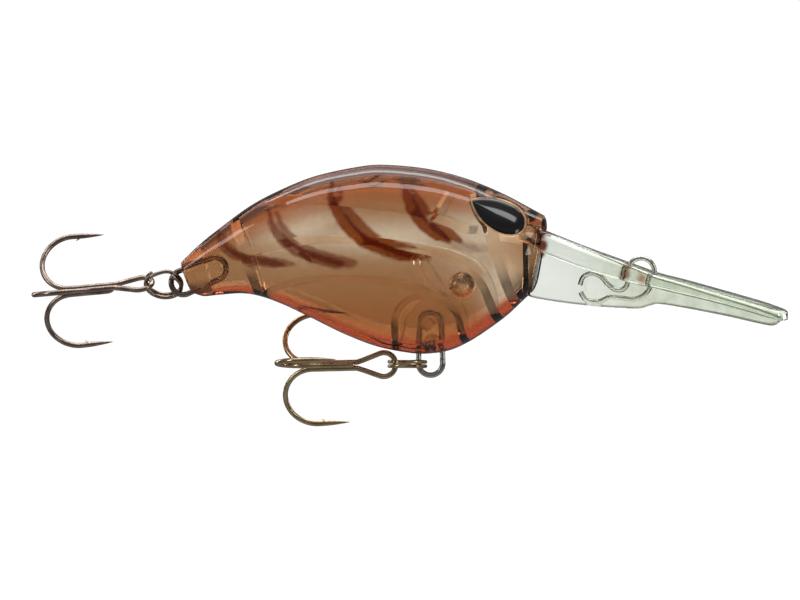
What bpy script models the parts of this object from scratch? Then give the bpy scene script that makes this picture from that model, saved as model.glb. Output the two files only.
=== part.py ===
"""Deep-diving crankbait lure: two clear shells, a diving lip, wire hangers, split rings and treble hooks.

The frame's origin is the centre of the line-tie eye. +X points along the lip, +Y to the lure's left, +Z up.
The shape functions work in millimetres, and build_mesh turns their points into metres.
"""

import math

import bmesh
import bpy
from mathutils import Matrix, Vector

MM = 0.001

SEAM = 0.15  # each shell stops this far from the middle plane
WALL = 1.5
FULLNESS = 0.97  # below 1 the flanks are fuller than an ellipse
BACK_LINE = [
    (-81.0, 1.7), (-78.1, 4.5), (-75.0, 7.0), (-68.8, 11.5), (-63.0, 14.5), (-57.0, 16.8),
    (-49.3, 18.4), (-45.3, 18.7), (-37.6, 18.0), (-30.7, 16.3), (-24.1, 13.6), (-19.7, 11.3), (-16.9, 9.8),
]
BELLY_LINE = [
    (-78.9, -3.9), (-77.2, -4.4), (-74.7, -4.2), (-70.3, -3.9), (-67.0, -4.4), (-62.8, -5.9),
    (-58.1, -8.1), (-52.3, -10.9), (-46.5, -13.1), (-41.0, -14.2), (-37.7, -14.4), (-33.6, -13.8),
    (-30.2, -12.3), (-26.9, -10.2), (-23.4, -7.6), (-20.4, -4.8), (-19.4, -3.9),
]
# One row for each cross-section: where it meets the back, where it meets the belly, and its half width.
STATIONS = [
    (-81.0, -78.9, 2.2), (-78.2, -75.8, 2.9), (-75.0, -71.5, 3.8), (-71.2, -66.1, 5.0),
    (-66.0, -60.3, 6.4), (-60.0, -54.5, 7.7), (-54.0, -49.0, 8.6), (-48.0, -44.0, 9.2),
    (-42.0, -38.5, 9.4), (-37.0, -32.5, 9.1), (-33.0, -27.0, 8.6), (-29.4, -22.2, 7.8),
    (-24.5, -20.7, 6.9), (-20.5, -20.1, 6.1), (-17.3, -19.6, 5.0),
]
END_ROUND = 0.8
REAR_BULKHEAD = 3.1  # the station where the main hollow starts
FRONT_BULKHEAD = 11.4

RIB = 1.5
CEILING_RIB = [(-71.5, 9.6), (-66.3, 11.6), (-61.0, 12.2), (-53.0, 12.1), (-46.0, 11.4), (-38.6, 10.3), (-29.5, 7.2)]
TRACK_ROOF = [(-70.5, 2.9), (-66.5, 3.9), (-60.0, 5.2), (-53.0, 5.6), (-46.0, 5.3), (-38.6, 4.1), (-33.0, 2.7),
              (-29.6, 1.0), (-27.2, -2.2), (-24.8, -9.5)]
TRACK_FLOOR = [(-67.0, -4.2), (-62.5, -2.2), (-57.0, -1.25), (-52.0, -1.1), (-46.5, -1.25), (-40.0, -2.4), (-35.8, -4.1)]
FLOOR_RIB = 1.2
TRACK_STOP = [(-39.2, 2.6), (-37.0, -0.6), (-35.2, -3.2), (-33.2, -4.8)]
STOP_OPENING = 3.4  # half of the gap that the weight rolls through

HANGER_WIRE = 0.5  # radii
TIE_WIRE = 0.45
WIRE_ROOM = 0.25
BELLY_EYE = (-36.9, -16.0)
BELLY_ANCHOR = (-36.9, -8.9)
TAIL_EYE = (-80.8, -2.0)
TAIL_ANCHOR = (-74.9, 0.5)
EYE_RADIUS = 2.15
ANCHOR_RADIUS = 1.9
PEG_RADIUS = 1.05
DOME_HALF_WIDTH = 5.6
DOME_TOP = -3.9
TIE_PATH = [
    (-10.6, -2.3), (-10.0, -0.9), (-8.5, -0.3), (-6.9, -0.9), (-5.7, -2.2), (-4.3, -3.1), (-3.0, -3.0),
    (-2.3, -2.0), (-2.35, -0.6), (-2.15, 0.9), (-1.1, 2.1), (0.4, 2.35), (1.7, 1.65), (2.35, 0.3),
    (2.1, -1.4), (1.4, -3.1), (0.2, -4.3), (-1.6, -4.75), (-3.7, -4.5), (-5.6, -4.45), (-6.9, -5.05),
    (-8.4, -5.2), (-9.8, -4.6), (-10.5, -3.5),
]

# The lip, one row for each cross-section: x, top, bottom and half width of the blade.
BLADE = [
    (-21.0, 8.6, 5.4, 3.45), (-17.0, 7.2, 3.4, 3.8), (-12.0, 5.2, 1.4, 4.6), (-8.1, 3.7, 0.1, 5.3),
    (-4.0, 2.2, -1.1, 6.3), (-0.5, 0.9, -2.1, 7.2), (2.9, -0.3, -2.8, 8.1), (7.5, -1.5, -3.9, 9.1),
    (12.5, -2.9, -5.1, 9.7), (17.5, -4.3, -6.4, 9.7), (21.0, -5.3, -7.4, 9.0), (23.2, -6.0, -8.0, 7.6),
    (24.7, -6.5, -8.4, 5.3), (25.4, -6.9, -8.3, 2.6),
]
# The keel under the blade: x and its lower edge. Its upper edge lies inside the blade.
KEEL = [
    (-21.0, -2.9), (-19.9, -3.4), (-19.2, -4.4), (-14.3, -5.3), (-8.0, -6.0), (-3.6, -6.3), (-0.3, -6.4),
    (1.6, -5.9), (3.4, -5.6), (8.5, -6.4), (15.2, -7.7), (20.5, -8.9), (23.0, -9.3), (24.2, -8.6),
]
KEEL_HALF = 1.6
BLADE_EDGE = 0.45
SOCKET_ROOM = 0.25

LENS_CENTRE = (-24.4, 10.0)  # of the painted eye
LENS_LENGTH = 4.85
LENS_WIDTH = 2.75
LENS_TURN = math.radians(151.4)
IRIS_RIM = 0.45
IRIS_THICKNESS = 0.7
LENS_SINK = 1.5
LENS_BULGE = 0.75

RING_OUTER = 3.5
RING_WIRE = 0.35
RING_LAYER = 0.76
TAIL_RING = (-84.3, 0.0, -2.3)
TAIL_RING_TILT = math.radians(48)
BELLY_RING = (-41.0, 0.0, -16.2)
BELLY_RING_TILT = math.radians(88)
TAIL_TREBLE = (-88.4, 0.0, -2.5)
TAIL_TREBLE_SLOPE = math.radians(5.2)
TAIL_TREBLE_ROLL = math.radians(120)
BELLY_TREBLE = (-45.2, 0.0, -16.3)
BELLY_TREBLE_SLOPE = math.radians(1.5)
BELLY_TREBLE_ROLL = math.radians(-7)

HOOK_WIRE = 0.475
SHANK_OFFSET = 0.6
HOOK_EYE = 2.1
HOOK_NECK = 4.6
BEND_START = 12.6
BEND_RADIUS = 5.3
POINT_LENGTH = 5.8
POINT_LEAN = math.radians(2)
BARB = 0.55

WEIGHT_RADIUS = 2.3
TRACK_CENTRE = (-52.4, -47.4)  # the weight rolls along an arc about this axis
TRACK_RADIUS = 49.75
WEIGHT_REST = math.radians(25)  # from straight above the axis, toward the nose
BALLAST_RADIUS = 1.15
BALLAST_LENGTH = 6.4
BALLAST_PLACE = (-36.9, -12.1)


def curve_height(knots, at):
    """Height at a place along a smooth curve through (x, z) knots."""
    last = len(knots) - 1
    index = 0
    while index < last - 1 and at > knots[index + 1][0]:
        index += 1

    def slope(k):
        before = knots[max(k - 1, 0)]
        after = knots[min(k + 1, last)]
        return (after[1] - before[1]) / (after[0] - before[0])

    x0, z0 = knots[index]
    x1, z1 = knots[index + 1]
    step = x1 - x0
    t = (at - x0) / step
    blend = t * t * (3 - 2 * t)
    start = t * (1 - t) ** 2 * step * slope(index)
    finish = t * t * (t - 1) * step * slope(index + 1)
    return z0 + (z1 - z0) * blend + start + finish


def smooth_path(knots, steps):
    """Points along a smooth planar curve through its knots, steps to each span."""
    places = [(i, knot[0]) for i, knot in enumerate(knots)]
    heights = [(i, knot[1]) for i, knot in enumerate(knots)]
    count = (len(knots) - 1) * steps
    return [(curve_height(places, i / steps), curve_height(heights, i / steps)) for i in range(count + 1)]


def body_section(u):
    """Back point, belly point and half width of the cross-section at station u."""
    back_x = curve_height([(i, row[0]) for i, row in enumerate(STATIONS)], u)
    belly_x = curve_height([(i, row[1]) for i, row in enumerate(STATIONS)], u)
    width = curve_height([(i, row[2]) for i, row in enumerate(STATIONS)], u)
    back = Vector((back_x, 0, curve_height(BACK_LINE, back_x)))
    belly = Vector((belly_x, 0, curve_height(BELLY_LINE, belly_x)))
    return back, belly, width


def body_ring(u, inset, count, push=0.0):
    """Points round the left half of a cross-section, from the back to the belly."""
    back, belly, width = body_section(u)
    middle = (back + belly) / 2
    half = (back - belly) / 2
    reach = (half.length - inset) / half.length
    points = []
    for i in range(count):
        turn = math.pi * i / (count - 1)
        side = (width - inset) * max(math.sin(turn), 0) ** FULLNESS
        points.append(middle + half * reach * math.cos(turn) + Vector((push, side, 0)))
    return points


def build_mesh(name, points, faces):
    mesh = bpy.data.meshes.new(name)
    mesh.from_pydata([Vector(p) * MM for p in points], [], faces)
    bm = bmesh.new()
    bm.from_mesh(mesh)
    bmesh.ops.recalc_face_normals(bm, faces=bm.faces)
    bm.to_mesh(mesh)
    bm.free()
    obj = bpy.data.objects.new(name, mesh)
    bpy.context.scene.collection.objects.link(obj)
    return obj


def bridge(name, rings):
    """A closed solid through rings of equal length, with a flat cap at each end."""
    size = len(rings[0])
    points = [p for ring in rings for p in ring]
    faces = []
    for r in range(len(rings) - 1):
        for i in range(size):
            j = (i + 1) % size
            faces.append((r * size + i, r * size + j, (r + 1) * size + j, (r + 1) * size + i))
    faces.append(tuple(range(size))[::-1])
    faces.append(tuple((len(rings) - 1) * size + i for i in range(size)))
    return build_mesh(name, points, faces)


def boolean(obj, tool, operation):
    modifier = obj.modifiers.new(operation.title(), "BOOLEAN")
    modifier.object = tool
    modifier.operation = operation
    bpy.context.view_layer.update()
    graph = bpy.context.evaluated_depsgraph_get()
    mesh = bpy.data.meshes.new_from_object(obj.evaluated_get(graph), depsgraph=graph)
    obj.modifiers.clear()
    obj.data = mesh
    bpy.data.objects.remove(tool, do_unlink=True)


def tube(name, path, radii, sides, phase=0.0):
    """A round wire along a 3D path, its frame carried along without twist."""
    path = [Vector(p) for p in path]
    tangents = []
    for i in range(len(path)):
        ahead = path[min(i + 1, len(path) - 1)]
        behind = path[max(i - 1, 0)]
        tangents.append((ahead - behind).normalized())
    side = tangents[0].orthogonal().normalized()
    rings = []
    for point, tangent, radius in zip(path, tangents, radii):
        side = (side - tangent * side.dot(tangent)).normalized()
        other = tangent.cross(side)
        ring = []
        for k in range(sides):
            turn = phase + 2 * math.pi * k / sides
            ring.append(point + (side * math.cos(turn) + other * math.sin(turn)) * radius)
        rings.append(ring)
    return bridge(name, rings)


def prism(name, outline, y0, y1):
    """A flat outline in the X-Z plane, made solid between two Y planes."""
    return bridge(name, [[(x, y, z) for x, z in outline] for y in (y0, y1)])


def ribbon(name, path, thickness, y0, y1):
    """A strip of even thickness that follows a planar path."""
    upper = []
    lower = []
    for i, (x, z) in enumerate(path):
        ahead = path[min(i + 1, len(path) - 1)]
        behind = path[max(i - 1, 0)]
        along = Vector((ahead[0] - behind[0], ahead[1] - behind[1])).normalized()
        across = Vector((-along.y, along.x)) * thickness / 2
        upper.append((x + across.x, z + across.y))
        lower.append((x - across.x, z - across.y))
    return prism(name, upper + lower[::-1], y0, y1)


def disc(name, centre, radius, y0, y1, sides=16):
    turns = [2 * math.pi * k / sides for k in range(sides)]
    outline = [(centre[0] + radius * math.cos(t), centre[1] + radius * math.sin(t)) for t in turns]
    return prism(name, outline, y0, y1)


def belt(first, first_radius, second, second_radius, gap, steps):
    """A link round two centres, from one side of its gap to the other, in the X-Z plane."""
    a = Vector(first)
    b = Vector(second)
    axis = math.atan2(b.y - a.y, b.x - a.x)
    spread = math.acos((first_radius - second_radius) / (b - a).length)
    points = []
    low = Vector((math.cos(axis - spread), math.sin(axis - spread)))
    strand_a = a + low * first_radius
    strand_b = b + low * second_radius
    run = (strand_b - strand_a).normalized()
    middle = (strand_a + strand_b) / 2
    points.append(middle - run * gap / 2)
    for i in range(steps + 1):
        turn = axis - spread - (2 * math.pi - 2 * spread) * i / steps
        points.append(a + Vector((math.cos(turn), math.sin(turn))) * first_radius)
    for i in range(steps + 1):
        turn = axis + spread - 2 * spread * i / steps
        points.append(b + Vector((math.cos(turn), math.sin(turn))) * second_radius)
    points.append(middle + run * gap / 2)
    return [(p.x, 0, p.y) for p in points]


def lens_outline(extra, count):
    """The painted eye's drop shape in the X-Z plane, its point up and back."""
    along = Vector((math.cos(LENS_TURN), math.sin(LENS_TURN)))
    across = Vector((along.y, -along.x))
    points = []
    for i in range(count):
        turn = 2 * math.pi * (i + 0.5) / count
        u = (LENS_LENGTH + extra) * math.cos(turn)
        v = (LENS_WIDTH + extra * 1.2) * math.sin(turn) * math.sin(turn / 2) ** 0.55
        point = Vector(LENS_CENTRE) + along * u + across * v
        points.append((point.x, point.y))
    return points


def lens_plane():
    """A point of the left flank at the eye's centre, and the flank's normal there."""
    target = Vector(LENS_CENTRE)
    best = None
    for i in range(60):
        u = 10.5 + 3.0 * i / 59
        ring = body_ring(u, 0.0, 61)
        for k in range(1, 60):
            off = (Vector((ring[k].x, ring[k].z)) - target).length
            if best is None or off < best[0]:
                best = (off, u, k)
    _, u, k = best
    ring = body_ring(u, 0.0, 61)
    ahead = body_ring(u + 0.3, 0.0, 61)
    behind = body_ring(u - 0.3, 0.0, 61)
    normal = (ahead[k] - behind[k]).cross(ring[k + 3] - ring[k - 3]).normalized()
    if normal.y < 0:
        normal = -normal
    return ring[k].y, normal


def lens_depth(x, z, level):
    """Y of the eye's own plane at a place on it, raised or sunk by level."""
    flank, normal = LENS_PLANE
    return flank - (normal.x * (x - LENS_CENTRE[0]) + normal.z * (z - LENS_CENTRE[1])) / normal.y + level


def lens_prism(name, extra, low, high, count=24):
    outline = lens_outline(extra, count)
    return bridge(name, [[(x, lens_depth(x, z, level), z) for x, z in outline] for level in (low, high)])


def lens_dome(name, count=24):
    """The black dome: a drop-shaped block whose face rises toward its middle."""
    rings = []
    centre = Vector(LENS_CENTRE)
    base = IRIS_THICKNESS + 0.3 - LENS_SINK
    steps = 5
    rings.append([(x, lens_depth(x, z, base), z) for x, z in lens_outline(0.0, count)])
    for i in range(steps):
        turn = math.pi / 2 * i / (steps - 0.6)
        scale = math.cos(turn)
        level = LENS_BULGE * math.sin(turn) + 0.1
        ring = []
        for x, z in lens_outline(0.0, count):
            px = centre.x + (x - centre.x) * scale
            pz = centre.y + (z - centre.y) * scale
            ring.append((px, lens_depth(px, pz, level), pz))
        rings.append(ring)
    return bridge(name, rings)


def blade_section(x, top, bottom, half, room):
    """Rounded rectangle across the lip."""
    edge = BLADE_EDGE
    top += room
    bottom -= room
    half += room
    corners = [
        (half - edge, top), (half, top - edge), (half, bottom + edge), (half - edge, bottom),
        (edge - half, bottom), (-half, bottom + edge), (-half, top - edge), (edge - half, top),
    ]
    return [(x, y, z) for y, z in corners]


def lip_solids(room):
    """Blade and keel of the lip, each grown by the room given."""
    rows = [list(row) for row in BLADE]
    rows[0][0] -= room * 2
    if room:
        rows = rows[:5]
    blade = bridge("blade", [blade_section(*row, room) for row in rows])
    tops = [(row[0], (row[1] + row[2]) / 2) for row in BLADE]
    rings = []
    edges = [list(row) for row in KEEL]
    edges[0][0] -= room * 2
    if room:
        edges = edges[:4]
    half = KEEL_HALF + room
    for x, low in edges:
        high = curve_height(tops, max(x, BLADE[0][0]))
        low -= room
        rings.append([(x, half, high), (x, half, low + 0.5), (x, half - 0.5, low), (x, 0.5 - half, low),
                      (x, -half, low + 0.5), (x, -half, high)])
    return blade, bridge("keel", rings)


def split_ring(name, centre, tilt):
    """Two close turns of wire with a short step from one layer to the other."""
    middle = Vector(centre)
    first = Vector((1, 0, 0))
    second = Vector((0, -math.sin(tilt), math.cos(tilt)))
    normal = first.cross(second)
    radius = RING_OUTER - RING_WIRE
    start = math.radians(34)
    total = 4 * math.pi - 2 * start
    count = 38
    phase = math.radians(90)
    path = []
    for i in range(count + 1):
        turn = start + total * i / count
        rise = min(max((turn - (2 * math.pi - math.radians(28))) / math.radians(56), 0), 1)
        layer = RING_LAYER * (rise * rise * (3 - 2 * rise) - 0.5)
        spoke = first * math.cos(turn + phase) + second * math.sin(turn + phase)
        path.append(middle + spoke * radius + normal * layer)
    ring = tube(name, path, [RING_WIRE] * len(path), 6, math.pi / 6)
    return ring


def prong(along, outward):
    """Path and radii of one hook, from its tip down to where the shank begins."""
    places = []
    radii = []
    lean = math.tan(POINT_LEAN)
    top = SHANK_OFFSET + 2 * BEND_RADIUS
    for back, radius in ((0.0, 0.06), (2.0, 0.3), (3.6, 0.43), (4.4, HOOK_WIRE)):
        places.append((BEND_START - POINT_LENGTH + back, top - (POINT_LENGTH - back) * lean))
        radii.append(radius)
    steps = 11
    for i in range(steps + 1):
        turn = math.pi / 2 - math.pi * i / steps
        places.append((BEND_START + BEND_RADIUS * math.cos(turn), SHANK_OFFSET + BEND_RADIUS * (1 + math.sin(turn))))
        radii.append(HOOK_WIRE)
    return [along * a + outward * r for a, r in places], radii


def barb(name, centre, along, outward):
    """The small raised spur on the inner side of a point, leaning away from the tip."""
    top = SHANK_OFFSET + 2 * BEND_RADIUS - HOOK_WIRE
    root = BEND_START - POINT_LENGTH + 3.2
    side = along.cross(outward)
    points = []
    for a, r, half in ((root, top + 0.3, 0.16), (root + 1.5, top + 0.3, 0.3), (root + 2.0, top - BARB, 0.05)):
        for sign in (1, -1):
            points.append(centre + along * a + outward * r + side * half * sign)
    return build_mesh(name, points, [(0, 2, 4), (1, 5, 3), (0, 1, 3, 2), (2, 3, 5, 4), (4, 5, 1, 0)])


def treble(prefix, centre, slope, roll):
    """A double hook bent from one wire round its eye, and the single hook brazed to its shank."""
    turn = Matrix.Rotation(-slope, 3, "Y") @ Matrix.Rotation(roll, 3, "X")
    along = turn @ Vector((-1, 0, 0))
    across = turn @ Vector((0, 0, 1))
    single = turn @ Vector((0, -1, 0))
    middle = Vector(centre)
    outward = [across * (sign * math.sqrt(3) / 2) - single / 2 for sign in (1, -1)]

    first, first_radii = prong(along, outward[0])
    last, last_radii = prong(along, outward[1])
    behind = -single * (SHANK_OFFSET / 2)
    neck = Vector((HOOK_NECK, SHANK_OFFSET * math.sqrt(3) / 2))
    tangent = math.atan2(neck.y, neck.x) + math.acos(HOOK_EYE / neck.length)
    eye = []
    steps = 12
    for i in range(steps + 1):
        around = tangent + (2 * math.pi - 2 * tangent) * i / steps
        eye.append(along * (HOOK_EYE * math.cos(around)) + across * (HOOK_EYE * math.sin(around)) + behind)
    necks = [along * neck.x + across * (neck.y * sign) + behind for sign in (1, -1)]
    path = first + [necks[0]] + eye + [necks[1]] + last[::-1]
    radii = first_radii + [HOOK_WIRE] * (len(eye) + 2) + last_radii[::-1]
    double_hook = tube(prefix + "_double_hook", [middle + p for p in path], radii, 8)
    for spoke in outward:
        boolean(double_hook, barb("barb", middle, along, spoke), "UNION")

    path, radii = prong(along, single)
    end = HOOK_NECK + 0.6
    path += [along * (end + 0.5) + single * SHANK_OFFSET, along * end + single * (SHANK_OFFSET + 0.1)]
    radii += [HOOK_WIRE, HOOK_WIRE * 0.55]
    single_hook = tube(prefix + "_single_hook", [middle + p for p in path], radii, 8)
    boolean(single_hook, barb("barb", middle, along, single), "UNION")
    return double_hook, single_hook


def hollow(name, first, last, inset, steps, count=13):
    """The inner space of both shells together, between two stations."""
    rings = []
    for i in range(steps + 1):
        half = body_ring(first + (last - first) * i / steps, inset, count)
        mirrored = [Vector((p.x, -p.y, p.z)) for p in half[1:-1]]
        rings.append(half + mirrored[::-1])
    return bridge(name, rings)


def main_hollow():
    """The big chamber, divided by the ribs that both shells carry."""
    space = hollow("main_hollow", REAR_BULKHEAD, FRONT_BULKHEAD, WALL, 12)
    for knots, thickness in ((CEILING_RIB, RIB), (TRACK_ROOF, RIB), (TRACK_FLOOR, FLOOR_RIB)):
        boolean(space, ribbon("rib", smooth_path(knots, 2), thickness, -12, 12), "DIFFERENCE")
    for sign in (1, -1):
        stop = ribbon("rib", smooth_path(TRACK_STOP, 2), 0.8, *sorted((sign * STOP_OPENING, sign * 12)))
        boolean(space, stop, "DIFFERENCE")
        pad = prism("pad", lens_outline(1.3, 20), *sorted((sign * 2.5, sign * 12)))
        boolean(space, pad, "DIFFERENCE")
    x, _ = BELLY_ANCHOR
    arch = []
    for i in range(13):
        turn = math.pi * i / 12
        arch.append((x - DOME_HALF_WIDTH * math.cos(turn), DOME_TOP - 5.5 + 5.5 * math.sin(turn)))
    arch = [(arch[0][0] - 0.4, -15)] + arch + [(arch[-1][0] + 0.4, -15)]
    boolean(space, ribbon("arch", arch, FLOOR_RIB, -12, 12), "DIFFERENCE")
    boolean(space, disc("peg", BELLY_ANCHOR, PEG_RADIUS, -12, 12), "DIFFERENCE")
    return space


def tail_hollow():
    space = hollow("tail_hollow", 1.45, 2.75, 1.2, 4)
    boolean(space, disc("peg", TAIL_ANCHOR, PEG_RADIUS, -8, 8), "DIFFERENCE")
    return space


def body_half():
    """The left shell's outer solid before it is hollowed."""
    count = 17
    last = len(STATIONS) - 1
    rings = [body_ring(0, END_ROUND, count, -0.35)]
    steps = 22
    for i in range(steps + 1):
        rings.append(body_ring(last * i / steps, 0, count))
    rings.append(body_ring(last, END_ROUND, count, 0.75))
    rings.append(body_ring(last, END_ROUND * 2.6, count, 1.15))
    for ring in rings:
        for point in ring:
            point.y = max(point.y, SEAM)
    return bridge("left_body_shell", rings)


def mirrored(obj, name):
    mesh = obj.data.copy()
    mesh.name = name
    mesh.transform(Matrix.Scale(-1, 4, (0, 1, 0)))
    mesh.flip_normals()
    copy = bpy.data.objects.new(name, mesh)
    bpy.context.scene.collection.objects.link(copy)
    return copy


def ball(name, centre, radius):
    mesh = bpy.data.meshes.new(name)
    bm = bmesh.new()
    bmesh.ops.create_uvsphere(bm, u_segments=18, v_segments=10, radius=radius * MM)
    bm.to_mesh(mesh)
    bm.free()
    mesh.transform(Matrix.Translation(Vector(centre) * MM))
    obj = bpy.data.objects.new(name, mesh)
    bpy.context.scene.collection.objects.link(obj)
    return obj


def hang_on(name, centre, objects):
    """An empty on a joint's axis, as the parent of the pieces that turn about it."""
    pivot = bpy.data.objects.new(name, None)
    pivot.empty_display_size = 2 * MM
    pivot.location = Vector(centre) * MM
    bpy.context.scene.collection.objects.link(pivot)
    bpy.context.view_layer.update()
    for obj in objects:
        obj.parent = pivot
        obj.matrix_parent_inverse = pivot.matrix_world.inverted()


def material(name, colour, roughness, metallic, transmission=0.0):
    made = bpy.data.materials.new(name)
    made.use_nodes = True
    shader = made.node_tree.nodes["Principled BSDF"]
    shader.inputs["Base Color"].default_value = (*colour, 1)
    shader.inputs["Roughness"].default_value = roughness
    shader.inputs["Metallic"].default_value = metallic
    shader.inputs["Transmission Weight"].default_value = transmission
    return made


def paint(obj, made, smooth_angle=35):
    obj.data.materials.clear()
    obj.data.materials.append(made)
    obj.data.polygons.foreach_set("material_index", [0] * len(obj.data.polygons))
    obj.data.shade_smooth()
    obj.data.set_sharp_from_angle(angle=math.radians(smooth_angle))


for leftover in list(bpy.data.objects):
    bpy.data.objects.remove(leftover, do_unlink=True)

LENS_PLANE = lens_plane()

amber = material("amber_plastic", (0.62, 0.3, 0.12), 0.08, 0.0, 0.8)
clear = material("clear_plastic", (0.85, 0.88, 0.85), 0.05, 0.0, 0.9)
steel = material("steel_wire", (0.55, 0.55, 0.52), 0.25, 1.0)
bronze = material("bronze_hook", (0.2, 0.13, 0.07), 0.22, 1.0)
nickel = material("black_nickel", (0.09, 0.08, 0.08), 0.2, 1.0)
iris = material("iris_foil", (0.7, 0.5, 0.28), 0.3, 0.6)
pupil = material("pupil_black", (0.01, 0.01, 0.012), 0.05, 0.0)
lead = material("weight_metal", (0.5, 0.5, 0.48), 0.3, 1.0)

tail_loop = belt(TAIL_EYE, EYE_RADIUS, TAIL_ANCHOR, ANCHOR_RADIUS, 0.8, 11)
belly_loop = belt(BELLY_EYE, EYE_RADIUS, BELLY_ANCHOR, ANCHOR_RADIUS, 0.8, 11)
tie_line = [(x, 0, z) for x, z in smooth_path(TIE_PATH, 2)]

left_shell = body_half()
boolean(left_shell, main_hollow(), "DIFFERENCE")
boolean(left_shell, tail_hollow(), "DIFFERENCE")
for loop in (tail_loop, belly_loop):
    channel = HANGER_WIRE + WIRE_ROOM
    boolean(left_shell, tube("channel", loop, [channel] * len(loop), 10), "DIFFERENCE")
for tool in lip_solids(SOCKET_ROOM):
    boolean(left_shell, tool, "DIFFERENCE")
boolean(left_shell, lens_prism("socket", IRIS_RIM + 0.3, -LENS_SINK - 0.25, 6.0), "DIFFERENCE")
x, z = BALLAST_PLACE
boolean(left_shell, disc("ballast_room", (x, z), BALLAST_RADIUS + 0.25, -BALLAST_LENGTH / 2 - 0.3,
                         BALLAST_LENGTH / 2 + 0.3, 12), "DIFFERENCE")
paint(left_shell, amber)
right_shell = mirrored(left_shell, "right_body_shell")

lip, keel = lip_solids(0.0)
lip.name = "diving_lip"
boolean(lip, keel, "UNION")
boolean(lip, tube("channel", tie_line, [TIE_WIRE + 0.15] * len(tie_line), 8), "DIFFERENCE")
paint(lip, clear)

paint(tube("line_tie_wire", tie_line, [TIE_WIRE] * len(tie_line), 8), steel, 60)
paint(tube("belly_hanger_wire", belly_loop, [HANGER_WIRE] * len(belly_loop), 8), steel, 60)
paint(tube("tail_hanger_wire", tail_loop, [HANGER_WIRE] * len(tail_loop), 8), nickel, 60)

left_iris = lens_prism("left_eye_iris", IRIS_RIM, -LENS_SINK, IRIS_THICKNESS - LENS_SINK)
paint(left_iris, iris)
mirrored(left_iris, "right_eye_iris")
left_dome = lens_dome("left_eye_dome")
paint(left_dome, pupil)
mirrored(left_dome, "right_eye_dome")

belly_ring = split_ring("belly_split_ring", BELLY_RING, BELLY_RING_TILT)
paint(belly_ring, bronze, 60)
hang_on("belly_ring_pivot", (BELLY_EYE[0], 0, BELLY_EYE[1]), [belly_ring])
belly_hooks = treble("belly_treble", BELLY_TREBLE, BELLY_TREBLE_SLOPE, BELLY_TREBLE_ROLL)
for hook in belly_hooks:
    paint(hook, bronze, 50)
hang_on("belly_treble_pivot", BELLY_RING, belly_hooks)

tail_ring = split_ring("tail_split_ring", TAIL_RING, TAIL_RING_TILT)
paint(tail_ring, nickel, 60)
hang_on("tail_ring_pivot", (TAIL_EYE[0], 0, TAIL_EYE[1]), [tail_ring])
tail_hooks = treble("tail_treble", TAIL_TREBLE, TAIL_TREBLE_SLOPE, TAIL_TREBLE_ROLL)
for hook in tail_hooks:
    paint(hook, nickel, 50)
hang_on("tail_treble_pivot", TAIL_RING, tail_hooks)

rest_x = TRACK_CENTRE[0] + TRACK_RADIUS * math.sin(WEIGHT_REST)
rest_z = TRACK_CENTRE[1] + TRACK_RADIUS * math.cos(WEIGHT_REST)
weight = ball("transfer_weight_ball", (rest_x, 0, rest_z), WEIGHT_RADIUS)
paint(weight, lead, 60)
hang_on("track_pivot", (TRACK_CENTRE[0], 0, TRACK_CENTRE[1]), [weight])
ballast = disc("belly_ballast_pin", BALLAST_PLACE, BALLAST_RADIUS, -BALLAST_LENGTH / 2, BALLAST_LENGTH / 2, 16)
paint(ballast, lead)
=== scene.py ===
"""Looks of the crankbait lure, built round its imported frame: clear shells, lip, wires, rings, hooks, floor and light.

Shapes are worked out in millimetres in the frame's own axes, and build_mesh turns them into metres.
"""

import math

import bmesh
import bpy
import numpy as np
from mathutils import Matrix, Vector, kdtree, noise


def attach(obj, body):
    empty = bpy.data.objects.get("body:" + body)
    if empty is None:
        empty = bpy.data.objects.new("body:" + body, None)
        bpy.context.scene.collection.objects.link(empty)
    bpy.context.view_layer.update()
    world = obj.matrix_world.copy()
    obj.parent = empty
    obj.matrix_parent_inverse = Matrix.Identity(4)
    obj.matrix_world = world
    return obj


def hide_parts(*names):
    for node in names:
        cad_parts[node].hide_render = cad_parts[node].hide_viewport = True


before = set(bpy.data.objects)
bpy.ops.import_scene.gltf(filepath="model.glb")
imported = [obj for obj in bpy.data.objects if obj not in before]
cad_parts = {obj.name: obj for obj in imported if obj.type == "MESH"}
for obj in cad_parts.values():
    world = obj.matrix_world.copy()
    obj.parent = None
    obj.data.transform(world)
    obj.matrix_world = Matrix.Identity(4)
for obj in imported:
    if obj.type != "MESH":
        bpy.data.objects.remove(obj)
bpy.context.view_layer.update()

MM = 0.001
SEAM = 0.02  # half the gap between the shells
WALL = 1.5
BACK_WALL = 1.7
THROUGH = 12  # half length of a cutter that passes through both flanks
# Outline of the body from the side: x and z along the back and along the belly.
BACK_LINE = [
    (-81.0, 1.7), (-78.1, 4.5), (-75.0, 7.0), (-68.8, 11.5), (-63.0, 14.5), (-57.0, 16.8),
    (-49.3, 18.4), (-45.3, 18.7), (-37.6, 18.0), (-30.7, 16.3), (-24.1, 13.6), (-19.7, 11.3), (-16.9, 9.8),
]
BELLY_LINE = [
    (-78.9, -3.9), (-77.2, -4.4), (-74.7, -4.2), (-70.3, -3.9), (-67.0, -4.4), (-62.8, -5.9),
    (-58.1, -8.1), (-52.3, -10.9), (-46.5, -13.1), (-41.0, -14.2), (-37.7, -14.4), (-33.6, -13.8),
    (-30.2, -12.3), (-26.9, -10.2), (-23.4, -7.6), (-20.4, -4.8), (-19.4, -3.9),
]
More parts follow.
